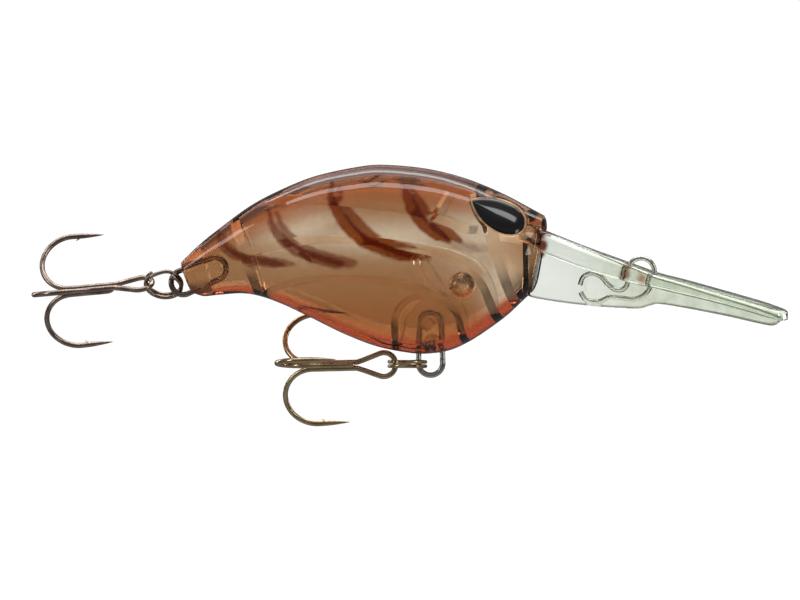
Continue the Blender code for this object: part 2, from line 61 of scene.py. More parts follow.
# Cross-sections from tail to nose: x on the back line, x on the belly line, half width.
STATIONS = [
    (-81.0, -78.9, 2.2), (-78.2, -75.8, 2.9), (-75.0, -71.5, 3.8), (-71.2, -66.1, 5.0),
    (-66.0, -60.3, 6.4), (-60.0, -54.5, 7.7), (-54.0, -49.0, 8.6), (-48.0, -44.0, 9.2),
    (-42.0, -38.5, 9.4), (-37.0, -32.5, 9.1), (-33.0, -27.0, 8.6), (-29.4, -22.2, 7.8),
    (-24.5, -20.7, 6.9), (-20.5, -20.1, 6.1), (-17.3, -19.6, 5.0),
]
FULLNESS = 0.97
END_ROUND = 0.8
# Stations where the main chamber and the small tail chamber start and end.
REAR_BULKHEAD = 3.1
FRONT_BULKHEAD = 10.9
TAIL_CHAMBER = (1.2, 2.75)
TAIL_WALL = 1.2

# Ribs in the X-Z plane, and how thick they are.
RIB = 1.5
CEILING_RIB = [(-71.5, 9.6), (-66.3, 11.6), (-61.0, 12.2), (-53.0, 12.1), (-46.0, 11.4), (-38.6, 10.3),
               (-29.5, 7.2)]
TRACK_ROOF = [(-70.5, 2.9), (-66.5, 3.9), (-60.0, 5.2), (-53.0, 5.6), (-46.0, 5.3), (-38.6, 4.1), (-33.0, 2.7),
              (-29.6, 1.0), (-27.2, -2.2), (-24.8, -9.5)]
TRACK_FLOOR = [(-67.0, -4.2), (-62.5, -2.2), (-57.0, -1.25), (-52.0, -1.1), (-46.5, -1.25), (-40.0, -2.4),
               (-35.8, -4.1)]
FLOOR_RIB = 1.2
TRACK_STOP = [(-39.2, 2.6), (-37.0, -0.6), (-35.2, -3.2), (-33.2, -4.8)]
BRACE = [(-33.4, 13.6), (-36.6, 8.0)]
BRACE_RIB = 0.7
STOP_RIB = 0.8
STOP_OPENING = 3.4
EYE_PAD_RIM = 1.3
EYE_PAD_DEPTH = 2.5
FLANK_MARK = (-58.6, 1.7)
FLANK_MARK_RADIUS = 1.75
FLANK_MARK_DEPTH = 5.8

HANGER_WIRE = 0.5
TIE_WIRE = 0.45
BELLY_EYE = (-36.9, -16.0)
BELLY_ANCHOR = (-36.9, -8.9)
TAIL_EYE = (-80.8, -2.0)
TAIL_ANCHOR = (-74.9, 0.5)
EYE_RADIUS = 2.15
ANCHOR_RADIUS = 1.9
PEG_RADIUS = 1.05
DOME_HALF_WIDTH = 5.6
DOME_TOP = -3.9
DOME_HEIGHT = 5.5
DOME_FOOT = -15
DOME_SPLAY = 0.4
TIE_PATH = [
    (-10.6, -2.3), (-10.0, -0.9), (-8.5, -0.3), (-6.9, -0.9), (-5.7, -2.2), (-4.3, -3.1), (-3.0, -3.0),
    (-2.3, -2.0), (-2.35, -0.6), (-2.15, 0.9), (-1.1, 2.1), (0.4, 2.35), (1.7, 1.65), (2.35, 0.3),
    (2.1, -1.4), (1.4, -3.1), (0.2, -4.3), (-1.6, -4.75), (-3.7, -4.5), (-5.6, -4.45), (-6.9, -5.05),
    (-8.4, -5.2), (-9.8, -4.6), (-10.5, -3.5),
]
# The lip: x, top, bottom and half width along the blade, then the keel's lower edge.
BLADE = [
    (-21.0, 8.6, 5.4, 3.45), (-17.0, 7.2, 3.4, 3.8), (-12.0, 5.2, 1.4, 4.6), (-8.1, 3.7, 0.1, 5.3),
    (-4.0, 2.2, -1.1, 6.3), (-0.5, 0.9, -2.1, 7.2), (2.9, -0.3, -2.8, 8.1), (7.5, -1.5, -3.9, 9.1),
    (12.5, -2.9, -5.1, 9.7), (17.5, -4.3, -6.4, 9.7), (21.0, -5.3, -7.4, 9.0), (23.2, -6.0, -8.0, 7.6),
    (24.7, -6.5, -8.4, 5.3), (25.4, -6.9, -8.3, 2.6),
]
KEEL = [
    (-21.0, -2.9), (-19.9, -3.4), (-19.2, -4.4), (-14.3, -5.3), (-8.0, -6.0), (-3.6, -6.3), (-0.3, -6.4),
    (1.6, -5.9), (3.4, -5.6), (8.5, -6.4), (15.2, -7.7), (20.5, -8.9), (23.0, -9.3), (24.2, -8.6),
]
KEEL_HALF = 1.6
KEEL_ROUND = 0.7
SLOT_ROOM = 0.12
LIP_MARK = (-8.0, -2.5)
LIP_MARK_RADIUS = 1.7
LIP_MARK_DEPTH = 1.15

LENS_CENTRE = (-24.4, 10.0)
LENS_LENGTH = 4.85
LENS_WIDTH = 2.75
LENS_TURN = math.radians(151.4)
IRIS_RIM = 0.45
IRIS_THICKNESS = 0.7
LENS_SINK = 1.5
LENS_BULGE = 0.75

RING_OUTER = 3.5
RING_WIRE = 0.35
RING_LAYER = 0.76
RING_END_GAP = math.radians(34)
RING_CROSSOVER = math.radians(56)
TAIL_RING = (-84.3, 0.0, -2.3)
TAIL_RING_TILT = math.radians(48)
BELLY_RING = (-41.0, 0.0, -16.2)
BELLY_RING_TILT = math.radians(88)
TAIL_TREBLE = (-88.4, 0.0, -2.5)
TAIL_TREBLE_SLOPE = math.radians(5.2)
TAIL_TREBLE_ROLL = math.radians(120)
BELLY_TREBLE = (-45.2, 0.0, -16.3)
BELLY_TREBLE_SLOPE = math.radians(1.5)
BELLY_TREBLE_ROLL = math.radians(-7)
HOOK_WIRE = 0.475
SHANK_OFFSET = 0.6
HOOK_EYE = 2.1
HOOK_NECK = 4.6
BEND_START = 12.6
BEND_RADIUS = 5.3
POINT_LENGTH = 5.8
POINT_LEAN = math.radians(2)
BARB = 0.55
# How the point thickens: distance back from its tip, and radius.
POINT_TAPER = ((0, 0.02), (0.4, 0.1), (1.0, 0.19), (2.0, 0.31), (3.0, 0.4), (4.0, 0.46), (4.8, HOOK_WIRE))

WEIGHT_RADIUS = 2.3
TRACK_CENTRE = (-52.4, -47.4)
TRACK_RADIUS = 49.75
WEIGHT_REST = math.radians(25)
BALLAST_RADIUS = 1.15
BALLAST_LENGTH = 6.4
BALLAST_PLACE = (-36.9, -12.1)

# Painted bars on the flanks: knots in the X-Z plane, half width in the middle, and strength.
BARS = [
    ([(-74.2, 7.0), (-73.4, 4.6), (-71.6, 3.2), (-68.6, 2.2), (-64.6, 1.5), (-62.2, 1.2)], 0.8, 0.9),
    ([(-64.8, 10.6), (-64.0, 8.0), (-62.0, 5.4), (-59.4, 3.6), (-56.2, 2.4), (-52.6, 1.4), (-51.2, 1.4)], 0.95, 0.95),
    ([(-53.6, 15.4), (-53.6, 12.8), (-52.0, 10.0), (-50.0, 7.5), (-47.4, 5.3), (-44.4, 4.1), (-41.0, 3.0),
      (-38.3, 2.5)], 1.15, 1.0),
    ([(-41.0, 15.2), (-40.2, 13.4), (-39.0, 10.8), (-37.4, 8.6), (-35.2, 6.9), (-32.7, 5.4)], 1.15, 1.0),
    ([(-32.2, 5.0), (-30.2, 4.4), (-27.6, 3.8)], 0.8, 0.45),
]
BACK_MARKS = [
    ([(-48.9, 15.9), (-47.5, 15.6), (-46.1, 16.4), (-44.9, 17.0)], 0.3, 1.0),
    ([(-43.0, 16.2), (-40.6, 16.1), (-38.3, 15.8)], 0.45, 0.8),
]


def curve_height(knots, at):
    """Height at a place on a smooth curve through (place, height) knots."""
    last = len(knots) - 1
    index = 0
    while index < last - 1 and at > knots[index + 1][0]:
        index += 1

    def slope(k):
        before = knots[max(k - 1, 0)]
        after = knots[min(k + 1, last)]
        return (after[1] - before[1]) / (after[0] - before[0])

    x0, z0 = knots[index]
    x1, z1 = knots[index + 1]
    step = x1 - x0
    t = (at - x0) / step
    blend = t * t * (3 - 2 * t)
    start = t * (1 - t) ** 2 * step * slope(index)
    finish = t * t * (t - 1) * step * slope(index + 1)
    return z0 + (z1 - z0) * blend + start + finish


def smooth_path(knots, steps):
    """A finer 2D path through the knots."""
    places = [(i, knot[0]) for i, knot in enumerate(knots)]
    heights = [(i, knot[1]) for i, knot in enumerate(knots)]
    count = (len(knots) - 1) * steps
    return [(curve_height(places, i / steps), curve_height(heights, i / steps)) for i in range(count + 1)]


def body_section(u):
    """The back point, belly point and half width at station u."""
    back_x = curve_height([(i, row[0]) for i, row in enumerate(STATIONS)], u)
    belly_x = curve_height([(i, row[1]) for i, row in enumerate(STATIONS)], u)
    width = curve_height([(i, row[2]) for i, row in enumerate(STATIONS)], u)
    back = Vector((back_x, 0, curve_height(BACK_LINE, back_x)))
    belly = Vector((belly_x, 0, curve_height(BELLY_LINE, belly_x)))
    return back, belly, width


def body_ring(u, side_inset, back_inset, belly_inset, count, push=0.0):
    """Points of one half of a cross-section, from back to belly, drawn in by the insets."""
    back, belly, width = body_section(u)
    axis = (back - belly).normalized()
    back = back - axis * back_inset
    belly = belly + axis * belly_inset
    middle = (back + belly) / 2
    half = (back - belly) / 2
    points = []
    for i in range(count):
        turn = math.pi * i / (count - 1)
        side = (width - side_inset) * max(math.sin(turn), 0) ** FULLNESS
        points.append(middle + half * math.cos(turn) + Vector((push, side, 0)))
    return points


def build_mesh(name, points, faces):
    mesh = bpy.data.meshes.new(name)
    mesh.from_pydata([Vector(p) * MM for p in points], [], faces)
    bm = bmesh.new()
    bm.from_mesh(mesh)
    bmesh.ops.recalc_face_normals(bm, faces=bm.faces)
    bm.to_mesh(mesh)
    bm.free()
    obj = bpy.data.objects.new(name, mesh)
    bpy.context.scene.collection.objects.link(obj)
    return obj


def bridge(name, rings):
    """A closed mesh through rings of the same number of points."""
    size = len(rings[0])
    points = [p for ring in rings for p in ring]
    faces = []
    for r in range(len(rings) - 1):
        for i in range(size):
            j = (i + 1) % size
            faces.append((r * size + i, r * size + j, (r + 1) * size + j, (r + 1) * size + i))
    faces.append(tuple(range(size))[::-1])
    faces.append(tuple((len(rings) - 1) * size + i for i in range(size)))
    return build_mesh(name, points, faces)


def boolean(obj, tool, operation):
    modifier = obj.modifiers.new(operation.title(), "BOOLEAN")
    modifier.object = tool
    modifier.operation = operation
    bpy.context.view_layer.update()
    graph = bpy.context.evaluated_depsgraph_get()
    mesh = bpy.data.meshes.new_from_object(obj.evaluated_get(graph), depsgraph=graph)
    obj.modifiers.clear()
    obj.data = mesh
    bpy.data.objects.remove(tool, do_unlink=True)


def tube(name, path, radii, sides, flatten=None):
    """A wire along a 3D path. flatten is (normal, share): its section is drawn in along the normal."""
    path = [Vector(p) for p in path]
    tangents = []
    for i in range(len(path)):
        ahead = path[min(i + 1, len(path) - 1)]
        behind = path[max(i - 1, 0)]
        tangents.append((ahead - behind).normalized())
    side = tangents[0].orthogonal().normalized()
    rings = []
    for point, tangent, radius in zip(path, tangents, radii):
        side = (side - tangent * side.dot(tangent)).normalized()
        other = tangent.cross(side)
        ring = []
        for k in range(sides):
            turn = 2 * math.pi * k / sides
            offset = (side * math.cos(turn) + other * math.sin(turn)) * radius
            if flatten:
                normal, share = flatten
                along = offset.dot(normal)
                squared = max(-1.0, min(1.0, along / (radius * share))) * radius * share
                offset += normal * (squared - along)
            ring.append(point + offset)
        rings.append(ring)
    return bridge(name, rings)


def prism(name, outline, y0, y1):
    """An X-Z outline run across from y0 to y1."""
    return bridge(name, [[(x, y, z) for x, z in outline] for y in (y0, y1)])


def ribbon(name, path, thickness, y0, y1):
    """A wall of even thickness along an X-Z path."""
    upper = []
    lower = []
    for i, (x, z) in enumerate(path):
        ahead = path[min(i + 1, len(path) - 1)]
        behind = path[max(i - 1, 0)]
        along = Vector((ahead[0] - behind[0], ahead[1] - behind[1])).normalized()
        across = Vector((-along.y, along.x)) * thickness / 2
        upper.append((x + across.x, z + across.y))
        lower.append((x - across.x, z - across.y))
    return prism(name, upper + lower[::-1], y0, y1)


def disc(name, centre, radius, y0, y1, sides=48):
    turns = [2 * math.pi * k / sides for k in range(sides)]
    outline = [(centre[0] + radius * math.cos(t), centre[1] + radius * math.sin(t)) for t in turns]
    return prism(name, outline, y0, y1)


def belt(first, first_radius, second, second_radius, gap, steps):
    """The path of a closed wire link round two centres, with a small gap in one leg."""
    a = Vector(first)
    b = Vector(second)
    axis = math.atan2(b.y - a.y, b.x - a.x)
    spread = math.acos((first_radius - second_radius) / (b - a).length)
    low = Vector((math.cos(axis - spread), math.sin(axis - spread)))
    high = Vector((math.cos(axis + spread), math.sin(axis + spread)))
    strand_a = a + low * first_radius
    strand_b = b + low * second_radius
    run = (strand_b - strand_a).normalized()
    middle = (strand_a + strand_b) / 2
    points = [middle - run * gap / 2]
    for i in range(steps + 1):
        turn = axis - spread - (2 * math.pi - 2 * spread) * i / steps
        points.append(a + Vector((math.cos(turn), math.sin(turn))) * first_radius)
    top_a = a + high * first_radius
    top_b = b + high * second_radius
    for i in range(1, 6):
        points.append(top_a.lerp(top_b, i / 6))
    for i in range(steps + 1):
        turn = axis + spread - 2 * spread * i / steps
        points.append(b + Vector((math.cos(turn), math.sin(turn))) * second_radius)
    points.append(middle + run * gap / 2)
    return [(p.x, 0, p.y) for p in points]


def lens_outline(extra, count):
    """The drop shape of the eye in the X-Z plane, grown by extra."""
    along = Vector((math.cos(LENS_TURN), math.sin(LENS_TURN)))
    across = Vector((along.y, -along.x))
    points = []
    for i in range(count):
        turn = 2 * math.pi * (i + 0.5) / count
        u = (LENS_LENGTH + extra) * math.cos(turn)
        v = (LENS_WIDTH + extra * 1.2) * math.sin(turn) * math.sin(turn / 2) ** 0.55
        point = Vector(LENS_CENTRE) + along * u + across * v
        points.append((point.x, point.y))
    return points


def lens_plane():
    """How far out the flank is at the eye, and its normal there."""
    target = Vector(LENS_CENTRE)
    best = None
    for i in range(60):
        u = 10.5 + 3.0 * i / 59
        ring = body_ring(u, 0, 0, 0, 61)
        for k in range(1, 60):
            off = (Vector((ring[k].x, ring[k].z)) - target).length
            if best is None or off < best[0]:
                best = (off, u, k)
    _, u, k = best
    ring = body_ring(u, 0, 0, 0, 61)
    ahead = body_ring(u + 0.3, 0, 0, 0, 61)
    behind = body_ring(u - 0.3, 0, 0, 0, 61)
    normal = (ahead[k] - behind[k]).cross(ring[k + 3] - ring[k - 3]).normalized()
    if normal.y < 0:
        normal = -normal
    return ring[k].y, normal


LENS_PLANE = lens_plane()


def lens_depth(x, z, level):
    flank, normal = LENS_PLANE
    return flank - (normal.x * (x - LENS_CENTRE[0]) + normal.z * (z - LENS_CENTRE[1])) / normal.y + level


def lens_prism(name, extra, low, high):
    outline = lens_outline(extra, 64)
    return bridge(name, [[(x, lens_depth(x, z, level), z) for x, z in outline] for level in (low, high)])


def lens_dome(name, extra, base, bulge, count=96, steps=14):
    centre = Vector(LENS_CENTRE)
    rings = [[(x, lens_depth(x, z, base), z) for x, z in lens_outline(extra, count)]]
    for i in range(steps):
        turn = math.pi / 2 * i / (steps - 0.75)
        scale = math.cos(turn)
        level = bulge * math.sin(turn) + 0.1
        ring = []
        for x, z in lens_outline(extra, count):
            px = centre.x + (x - centre.x) * scale
            pz = centre.y + (z - centre.y) * scale
            ring.append((px, lens_depth(px, pz, level), pz))
        rings.append(ring)
    return bridge(name, rings)


def split_ring(name, centre, tilt):
    """Two turns of wire that step across from one layer to the other."""
    middle = Vector(centre)
    first = Vector((1, 0, 0))
    second = Vector((0, -math.sin(tilt), math.cos(tilt)))
    normal = first.cross(second)
    radius = RING_OUTER - RING_WIRE
    start = RING_END_GAP
    total = 4 * math.pi - 2 * start
    count = 180
    phase = math.radians(90)
    path = []
    radii = []
    for i in range(count + 1):
        turn = start + total * i / count
        rise = min(max((turn - (2 * math.pi - RING_CROSSOVER / 2)) / RING_CROSSOVER, 0), 1)
        layer = RING_LAYER * (rise * rise * (3 - 2 * rise) - 0.5)
        spoke = first * math.cos(turn + phase) + second * math.sin(turn + phase)
        path.append(middle + spoke * radius + normal * layer)
        radii.append(RING_WIRE * (0.75 if i in (0, count) else 1))
    return tube(name, path, radii, 16, (normal, 0.98))


def prong(along, outward):
    """One hook from its point round to the shank: path and radii."""
    places = []
    radii = []
    lean = math.tan(POINT_LEAN)
    top = SHANK_OFFSET + 2 * BEND_RADIUS
    for back, radius in POINT_TAPER:
        places.append((BEND_START - POINT_LENGTH + back, top - (POINT_LENGTH - back) * lean))
        radii.append(radius)
    steps = 36
    for i in range(steps + 1):
        turn = math.pi / 2 - math.pi * i / steps
        places.append((BEND_START + BEND_RADIUS * math.cos(turn), SHANK_OFFSET + BEND_RADIUS * (1 + math.sin(turn))))
        radii.append(HOOK_WIRE)
    return [along * a + outward * r for a, r in places], radii


def barb(name, centre, along, outward):
    top = SHANK_OFFSET + 2 * BEND_RADIUS - HOOK_WIRE
    root = BEND_START - POINT_LENGTH + 2.6
    side = along.cross(outward)
    rows = []
    for a, r, half in ((root, top + 0.3, 0.1), (root + 1.4, top + 0.25, 0.3), (root + 2.1, top - 0.25, 0.16),
                       (root + 2.5, top - BARB, 0.03)):
        spine = centre + along * a + outward * r
        rows.append([spine + side * half, spine + outward * (0.22 if half > 0.05 else 0.04), spine - side * half,
                     spine - outward * 0.05])
    return bridge(name, rows)


def treble(prefix, centre, slope, roll):
    """A double hook bent round the eye, and the single hook beside it."""
    turn = Matrix.Rotation(-slope, 3, "Y") @ Matrix.Rotation(roll, 3, "X")
    along = turn @ Vector((-1, 0, 0))
    across = turn @ Vector((0, 0, 1))
    single = turn @ Vector((0, -1, 0))
    middle = Vector(centre)
    outward = [across * (sign * math.sqrt(3) / 2) - single / 2 for sign in (1, -1)]

    first, first_radii = prong(along, outward[0])
    last, last_radii = prong(along, outward[1])
    behind = -single * (SHANK_OFFSET / 2)
    neck = Vector((HOOK_NECK, SHANK_OFFSET * math.sqrt(3) / 2))
    tangent = math.atan2(neck.y, neck.x) + math.acos(HOOK_EYE / neck.length)
    eye = []
    steps = 48
    for i in range(steps + 1):
        around = tangent + (2 * math.pi - 2 * tangent) * i / steps
        eye.append(along * (HOOK_EYE * math.cos(around)) + across * (HOOK_EYE * math.sin(around)) + behind)
    first_neck = along * neck.x + across * neck.y + behind
    last_neck = along * neck.x - across * neck.y + behind
    straight = [along * (HOOK_NECK + 2.0 + 1.4 * i) for i in range(4)]
    path = first + [outward[0] * SHANK_OFFSET + p for p in straight[::-1]]
    path += [first_neck + along * 0.7, first_neck + along * 0.1 + across * 0.02, first_neck.lerp(eye[0], 0.25)]
    path += eye
    path += [last_neck.lerp(eye[-1], 0.25), last_neck + along * 0.1 - across * 0.02, last_neck + along * 0.7]
    path += [outward[1] * SHANK_OFFSET + p for p in straight] + last[::-1]
    wires = len(path) - len(first) - len(last)
    radii = first_radii + [HOOK_WIRE] * wires + last_radii[::-1]
    double_hook = tube(prefix + "_double_hook", [middle + p for p in path], radii, 16)
    for spoke in outward:
        boolean(double_hook, barb("barb", middle, along, spoke), "UNION")

    path, radii = prong(along, single)
    path += [p + single * SHANK_OFFSET for p in straight[::-1]]
    radii += [HOOK_WIRE] * 4
    end = HOOK_NECK + 0.4
    for a, share in ((1.1, 1.0), (0.6, 0.92), (0.2, 0.7), (0.0, 0.35)):
        path.append(along * (end + a) + single * (SHANK_OFFSET - 0.12 * (1.1 - a)))
        radii.append(HOOK_WIRE * share)
    single_hook = tube(prefix + "_single_hook", [middle + p for p in path], radii, 16)
    boolean(single_hook, barb("barb", middle, along, single), "UNION")
    return double_hook, single_hook


def hollow(name, first, last, insets, steps, count=41):
    rings = []
    for i in range(steps + 1):
        half = body_ring(first + (last - first) * i / steps, *insets, count)
        other = [Vector((p.x, -p.y, p.z)) for p in half[1:-1]]
        rings.append(half + other[::-1])
    return bridge(name, rings)


def main_hollow():
    """The space in the body, with its ribs, eye pads, flank marks, hanger arch and peg left standing."""
    space = hollow("main_hollow", REAR_BULKHEAD, FRONT_BULKHEAD, (WALL, BACK_WALL, WALL), 48)
    for knots, thickness in ((CEILING_RIB, RIB), (TRACK_ROOF, RIB), (TRACK_FLOOR, FLOOR_RIB), (BRACE, BRACE_RIB)):
        boolean(space, ribbon("rib", smooth_path(knots, 8), thickness, -THROUGH, THROUGH), "DIFFERENCE")
    for sign in (1, -1):
        stop = ribbon("rib", smooth_path(TRACK_STOP, 6), STOP_RIB, *sorted((sign * STOP_OPENING, sign * THROUGH)))
        boolean(space, stop, "DIFFERENCE")
        pad = prism("pad", lens_outline(EYE_PAD_RIM, 48), *sorted((sign * EYE_PAD_DEPTH, sign * THROUGH)))
        boolean(space, pad, "DIFFERENCE")
        mark = disc("mark", FLANK_MARK, FLANK_MARK_RADIUS, *sorted((sign * FLANK_MARK_DEPTH, sign * THROUGH)))
        boolean(space, mark, "DIFFERENCE")
    x, _ = BELLY_ANCHOR
    arch = []
    for i in range(33):
        turn = math.pi * i / 32
        arch.append((x - DOME_HALF_WIDTH * math.cos(turn), DOME_TOP - DOME_HEIGHT + DOME_HEIGHT * math.sin(turn)))
    arch = [(arch[0][0] - DOME_SPLAY, DOME_FOOT)] + arch + [(arch[-1][0] + DOME_SPLAY, DOME_FOOT)]
    boolean(space, ribbon("arch", arch, FLOOR_RIB, -THROUGH, THROUGH), "DIFFERENCE")
    boolean(space, disc("peg", BELLY_ANCHOR, PEG_RADIUS, -THROUGH, THROUGH), "DIFFERENCE")
    return space


def tail_hollow():
    space = hollow("tail_hollow", *TAIL_CHAMBER, (TAIL_WALL, TAIL_WALL, TAIL_WALL), 12)
    boolean(space, disc("peg", TAIL_ANCHOR, PEG_RADIUS, -8, 8), "DIFFERENCE")
    return space


def outer_rings(count, steps):
    """Cross-sections of the outer skin with their stations."""
    last = len(STATIONS) - 1
    rings = [(0, body_ring(0, END_ROUND, END_ROUND, END_ROUND, count, -0.35))]
    rings.append((0, body_ring(0, END_ROUND * 0.3, END_ROUND * 0.3, END_ROUND * 0.3, count, -0.25)))
    for i in range(steps + 1):
        rings.append((last * i / steps, body_ring(last * i / steps, 0, 0, 0, count)))
    for share, push in ((0.25, 0.4), (1.0, 0.8), (2.0, 1.05), (3.2, 1.15)):
        inset = END_ROUND * share
        rings.append((last, body_ring(last, inset, inset, inset, count, push)))
    return rings


def body_half():
    """The left shell's outer solid."""
    count = 121
    rings = [ring for _, ring in outer_rings(count, 200)]
    for ring in rings:
        for point in ring:
            point.y = max(point.y, SEAM)
    return bridge("left_shell", rings)


def blade_section(x, top, bottom, half, room=0.0):
    """A bowed blade's cross-section with rounded edges."""
    points = []
    edge = min(0.9, (top - bottom) / 2 - 0.05) + room
    top += room
    bottom -= room
    half += room
    for corner, (cy, cz) in enumerate(((half - edge, top - edge), (half - edge, bottom + edge),
                                       (edge - half, bottom + edge), (edge - half, top - edge))):
        for k in range(5):
            turn = math.radians(90 - 90 * corner - 90 * k / 4)
            points.append((x, cy + edge * math.cos(turn), cz + edge * math.sin(turn)))
    return points


def blade_row(at):
    return [curve_height([(i, row[k]) for i, row in enumerate(BLADE)], at) for k in range(4)]


def lip_mesh():
    """The blade with its keel, and a shallow round mark on each side of the keel."""
    count = 78
    rings = [blade_section(*blade_row((len(BLADE) - 1) * i / count)) for i in range(count + 1)]
    blade = bridge("lip", rings)
    tops = [(row[0], (row[1] + row[2]) / 2) for row in BLADE]
    rings = []
    half = KEEL_HALF
    for x, low in smooth_path(KEEL, 5):
        high = curve_height(tops, max(x, BLADE[0][0]))
        ring = [(x, half, high)]
        for corner, side in ((0, half - KEEL_ROUND), (1, KEEL_ROUND - half)):
            for k in range(5):
                turn = math.radians(-90 * corner - 90 * k / 4)
                ring.append((x, side + KEEL_ROUND * math.cos(turn), low + KEEL_ROUND + KEEL_ROUND * math.sin(turn)))
        ring.append((x, -half, high))
        rings.append(ring)
    boolean(blade, bridge("keel", rings), "UNION")
    for sign in (1, -1):
        mark = disc("mark", LIP_MARK, LIP_MARK_RADIUS, *sorted((sign * LIP_MARK_DEPTH, sign * 3)))
        boolean(blade, mark, "DIFFERENCE")
    return blade


def mirror_copy(obj, name):
    mesh = obj.data.copy()
    mesh.name = name
    mesh.transform(Matrix.Scale(-1, 4, (0, 1, 0)))
    mesh.flip_normals()
    copy = bpy.data.objects.new(name, mesh)
    bpy.context.scene.collection.objects.link(copy)
    return copy


def shade(obj, angle):
    obj.data.shade_smooth()
    obj.data.set_sharp_from_angle(angle=math.radians(angle))


def socket_cut(obj):
    """The lip's slot in the nose of a shell."""
    rows = [blade_section(*blade_row(3.2 * i / 12), SLOT_ROOM) for i in range(13)]
    rows[0] = [(x - 0.2, y, z) for x, y, z in rows[0]]
    boolean(obj, bridge("slot", rows), "DIFFERENCE")
    half = KEEL_HALF + SLOT_ROOM
    tops = [(row[0], (row[1] + row[2]) / 2) for row in BLADE]
    rings = []
    for x, low in smooth_path(KEEL[:4], 5):
        high = curve_height(tops, x)
        rings.append([(x, half, high), (x, half, low - 0.1), (x, -half, low - 0.1), (x, -half, high)])
    boolean(obj, bridge("slot", rings), "DIFFERENCE")


def ramp_between(low, high, value):
    t = min(max((value - low) / (high - low), 0.0), 1.0)
    return t * t * (3 - 2 * t)


def mix(a, b, share):
    return [p + (q - p) * share for p, q in zip(a, b)]


def stroke_share(strokes, x, z, soft):
    """How strongly a painted stroke covers a place, with fuzzy edges."""
    wobble = noise.noise(Vector((x * 0.9, z * 0.9, 3.1))) * 0.22
    found = 0.0
    for points, half, strength in strokes:
        low_x, high_x, low_z, high_z = points["box"]
        if not (low_x < x < high_x and low_z < z < high_z):
            continue
        line = points["line"]
        for i in range(len(line) - 1):
            ax, az = line[i]
            bx, bz = line[i + 1]
            dx, dz = bx - ax, bz - az
            t = min(max(((x - ax) * dx + (z - az) * dz) / (dx * dx + dz * dz), 0.0), 1.0)
            off = math.hypot(x - ax - dx * t, z - az - dz * t)
            along = (i + t) / (len(line) - 1)
            width = half * (0.45 + 0.55 * ramp_between(0, 0.35, along)) * (1 - 0.5 * ramp_between(0.85, 1.0, along))
            share = strength * (1 - ramp_between(width - soft, width + soft, off + wobble))
            found = max(found, share)
    return found


def prepared(strokes):
    """Finer lines of painted strokes, each with the box it can reach."""
    made = []
    for knots, half, strength in strokes:
        line = smooth_path(knots, 5)
        xs = [p[0] for p in line]
        zs = [p[1] for p in line]
        box = (min(xs) - 2.5, max(xs) + 2.5, min(zs) - 2.5, max(zs) + 2.5)
        made.append(({"line": line, "box": box}, half, strength))
    return made


# Colours of the shells, as the tint of light that passes: mostly paint, but the grey along the top edge is a painted
# reflection of the overhead light, the cream patches are painted sheen, and tan above amber is painted shading, lighter
# higher up.
REFLECTION_GREY = (0.26, 0.15, 0.14)
ORANGE = (0.33, 0.08, 0.016)
SHEEN_CREAM = (0.6, 0.5, 0.36)
TAN = (0.31, 0.155, 0.066)
AMBER = (0.27, 0.1, 0.028)
RUST = (0.24, 0.035, 0.01)
BAR_BROWN = (0.08, 0.006, 0.0002)
MARK_BLACK = (0.004, 0.002, 0.002)
# Brown marks on the lip: x, z, how far they reach, and colour.
LIP_STAINS = [
    (-2.1, -0.4, 1.2, (0.3, 0.17, 0.11)), (-2.0, 0.9, 1.0, (0.3, 0.17, 0.11)), (0.9, -1.3, 1.0, (0.4, 0.26, 0.18)),
    (-17.4, 6.6, 1.5, (0.12, 0.03, 0.015)), (-17.0, 4.6, 1.3, (0.12, 0.03, 0.015)),
    (-17.6, 3.2, 1.1, (0.2, 0.06, 0.03)),
]
# Painted sheen on the flank: lighter cream patches that stand in for soft light lying there, each with a centre in the
# X-Z plane and half sizes.
SHEEN_PATCHES = [
    ((-60.5, 8.0), (8.5, 5.0)), ((-28.5, 6.5), (6.5, 6.5)), ((-44.0, 6.0), (16.0, 3.0)),
    ((-24.5, -1.0), (3.5, 6.0)),
]


